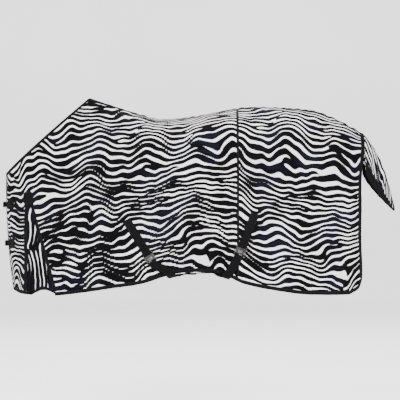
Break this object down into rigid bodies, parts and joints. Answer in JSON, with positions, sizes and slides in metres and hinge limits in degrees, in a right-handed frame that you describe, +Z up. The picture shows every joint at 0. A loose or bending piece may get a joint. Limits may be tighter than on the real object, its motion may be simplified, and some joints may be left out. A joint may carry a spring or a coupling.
{
  "type": "horse fly sheet",
  "caption": "Horse fly sheet in striped cloth with shoulder gussets, tail flap, bound edges, chest buckles and cross surcingles.",
  "frame": {"origin": "underside of the sheet on the spine, at the dip of the horse's back", "axes": "+X from head to tail, +Y to the horse's right (off side), +Z up"},
  "size_m": [2.0363, 0.6286, 1.0223],
  "materials": {
    "printed_cloth": "off-white woven polyester with a black zebra print",
    "binding": "black woven tape",
    "webbing": "black polypropylene webbing",
    "hardware": "satin nickel plate",
    "keeper_plastic": "moulded black"
  },
  "bodies": {
    "sheet": {"front_panel_near": "printed_cloth", "front_panel_off": "printed_cloth", "rear_panel_near": "printed_cloth", "rear_panel_off": "printed_cloth", "shoulder_gusset_near": "printed_cloth", "shoulder_gusset_off": "printed_cloth", "chest_underlap": "printed_cloth", "gusset_hem_binding_near": "binding", "gusset_front_band_near": "binding", "gusset_rear_band_near": "binding", "gusset_patch_near": "binding", "neck_binding_near": "binding", "chest_hem_binding_near": "binding", "body_hem_binding_near": "binding", "chest_edge_binding_near": "binding", "rear_binding_near": "binding", "flank_seam_tape_near": "binding", "gusset_hem_binding_off": "binding", "gusset_front_band_off": "binding", "gusset_rear_band_off": "binding", "gusset_patch_off": "binding", "neck_binding_off": "binding", "chest_hem_binding_off": "binding", "body_hem_binding_off": "binding", "chest_edge_binding_off": "binding", "rear_binding_off": "binding", "flank_seam_tape_off": "binding", "spine_tape": "binding", "upper_chest_patch_near": "binding", "upper_chest_patch_off": "binding", "lower_chest_patch_near": "binding", "lower_chest_patch_off": "binding", "front_anchor_strap": "webbing", "rear_anchor_strap": "webbing", "front_belly_strap": "webbing", "rear_belly_strap": "webbing", "upper_chest_chape": "webbing", "lower_chest_chape": "webbing", "upper_chest_billet": "webbing", "lower_chest_billet": "webbing", "front_slot_plate": "hardware", "rear_slot_plate": "hardware", "upper_buckle_frame": "hardware", "lower_buckle_frame": "hardware"},
    "tail_flap": {"tail_flap": "printed_cloth", "tail_flap_binding_near": "binding", "tail_flap_binding_off": "binding"},
    "front_surcingle_hook": {"front_surcingle_hook": "hardware"},
    "rear_surcingle_hook": {"rear_surcingle_hook": "hardware"},
    "front_adjuster": {"front_adjuster": "hardware"},
    "rear_adjuster": {"rear_adjuster": "hardware"},
    "upper_buckle_tongue": {"upper_buckle_tongue": "hardware"},
    "lower_buckle_tongue": {"lower_buckle_tongue": "hardware"},
    "upper_strap_keeper": {"upper_strap_keeper": "keeper_plastic"},
    "lower_strap_keeper": {"lower_strap_keeper": "keeper_plastic"}
  },
  "joints": [
    {"name": "tail_flap_lift", "type": "hinge", "parent": "sheet", "child": "tail_flap", "pos_m": [1.057, 0, -0.08], "axis": [0, -1, 0], "range_deg": [0, 60]},
    {"name": "front_hook_tilt", "type": "hinge", "parent": "sheet", "child": "front_surcingle_hook", "pos_m": [-0.03845, -0.29858, -0.73188], "axis": [0.8489, 0.0762, 0.5231], "range_deg": [0, 50]},
    {"name": "rear_hook_tilt", "type": "hinge", "parent": "sheet", "child": "rear_surcingle_hook", "pos_m": [0.4008, -0.29799, -0.69822], "axis": [0.9284, -0.0679, -0.3653], "range_deg": [0, 50]},
    {"name": "front_adjuster_slide", "type": "slide", "parent": "sheet", "child": "front_adjuster", "axis": [0.4671, 0.8842, 0], "range_m": [-0.025, 0.025]},
    {"name": "rear_adjuster_slide", "type": "slide", "parent": "sheet", "child": "rear_adjuster", "axis": [-0.4671, 0.8842, 0], "range_m": [-0.025, 0.025]},
    {"name": "upper_tongue_swing", "type": "hinge", "parent": "sheet", "child": "upper_buckle_tongue", "pos_m": [-0.80964, 0, -0.441], "axis": [0, 0, 1], "range_deg": [0, 85]},
    {"name": "lower_tongue_swing", "type": "hinge", "parent": "sheet", "child": "lower_buckle_tongue", "pos_m": [-0.79919, 0, -0.641], "axis": [0, 0, 1], "range_deg": [0, 85]},
    {"name": "upper_keeper_slide", "type": "slide", "parent": "sheet", "child": "upper_strap_keeper", "axis": [0, -1, 0], "range_m": [-0.008, 0.012]},
    {"name": "lower_keeper_slide", "type": "slide", "parent": "sheet", "child": "lower_strap_keeper", "axis": [0, -1, 0], "range_m": [-0.008, 0.012]}
  ]
}
